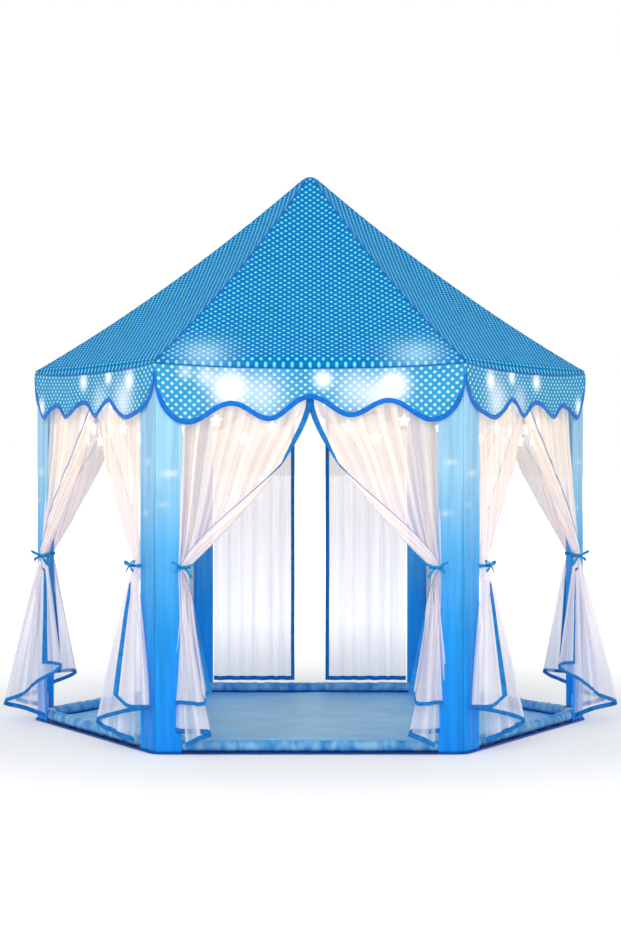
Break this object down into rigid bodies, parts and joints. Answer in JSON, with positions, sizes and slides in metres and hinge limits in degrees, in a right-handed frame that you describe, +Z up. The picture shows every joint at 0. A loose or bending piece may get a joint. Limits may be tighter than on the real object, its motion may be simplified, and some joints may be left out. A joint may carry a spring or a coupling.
{
  "type": "kids play tent",
  "caption": "Free-standing hexagonal play tent: push-fit tube frame, scalloped pitched roof, corner sleeves, floor mat, tied sheer curtains and a battery star light string",
  "frame": {"origin": "On the ground under the peak, at the centre of the floor mat's underside", "axes": "+Z up, -Y towards the front doorway, +X to the right as seen from the front"},
  "size_m": [1.5162, 1.3222, 1.38],
  "materials": {
    "connector": "moulded plastic, light grain",
    "tube": "smooth extruded tube",
    "dotted_cloth": "thin polyester with a staggered pale polka dot and blue bound edges",
    "mat_cloth": "light blue taffeta, wrinkled, rolled hem",
    "sleeve_cloth": "bright blue taffeta with a soft sheen",
    "voile": "sheer white voile with blue bound edges",
    "light_string": "clear cable with warm white moulded stars",
    "battery_case": "white moulded case",
    "switch": "black knob"
  },
  "bodies": {
    "root": {"roof_hub": "connector", "eave_connector_front_left": "connector", "eave_connector_front_right": "connector", "eave_connector_right": "connector", "eave_connector_back_right": "connector", "eave_connector_back_left": "connector", "eave_connector_left": "connector", "base_connector_front_left": "connector", "base_connector_front_right": "connector", "base_connector_right": "connector", "base_connector_back_right": "connector", "base_connector_back_left": "connector", "base_connector_left": "connector", "roof_pole_front_left": "tube", "roof_pole_front_right": "tube", "roof_pole_right": "tube", "roof_pole_back_right": "tube", "roof_pole_back_left": "tube", "roof_pole_left": "tube", "leg_front_left": "tube", "leg_front_right": "tube", "leg_right": "tube", "leg_back_right": "tube", "leg_back_left": "tube", "leg_left": "tube", "eave_tube_front": "tube", "eave_tube_front_right": "tube", "eave_tube_back_right": "tube", "eave_tube_back": "tube", "eave_tube_back_left": "tube", "eave_tube_front_left": "tube", "base_tube_front": "tube", "base_tube_front_right": "tube", "base_tube_back_right": "tube", "base_tube_back": "tube", "base_tube_back_left": "tube", "base_tube_front_left": "tube", "roof_cover": "dotted_cloth", "floor_mat": "mat_cloth", "corner_sleeve_front_left": "sleeve_cloth", "corner_sleeve_front_right": "sleeve_cloth", "corner_sleeve_right": "sleeve_cloth", "corner_sleeve_back_right": "sleeve_cloth", "corner_sleeve_back_left": "sleeve_cloth", "corner_sleeve_left": "sleeve_cloth", "curtain_front_left": "voile", "curtain_front_right": "voile", "curtain_front_right_left": "voile", "curtain_front_right_right": "voile", "curtain_back_right_left": "voile", "curtain_back_right_right": "voile", "curtain_back_left_left": "voile", "curtain_back_left_right": "voile", "curtain_front_left_left": "voile", "curtain_front_left_right": "voile", "light_string": "light_string", "battery_box": "battery_case"},
    "back_left_curtain": {"curtain_back_left": "voile"},
    "back_right_curtain": {"curtain_back_right": "voile"},
    "light_switch": {"battery_switch": "switch"}
  },
  "joints": [
    {"name": "back_left_curtain_swing", "type": "hinge", "parent": "root", "child": "back_left_curtain", "pos_m": [0.158, 0.58722, 0.87699], "axis": [-1, 0, 0], "range_deg": [-5, 40]},
    {"name": "back_right_curtain_swing", "type": "hinge", "parent": "root", "child": "back_right_curtain", "pos_m": [-0.158, 0.58722, 0.87699], "axis": [-1, 0, 0], "range_deg": [-5, 40]},
    {"name": "light_switch_slide", "type": "slide", "parent": "root", "child": "light_switch", "axis": [0, 0, 1], "range_m": [0, 0.004]}
  ]
}
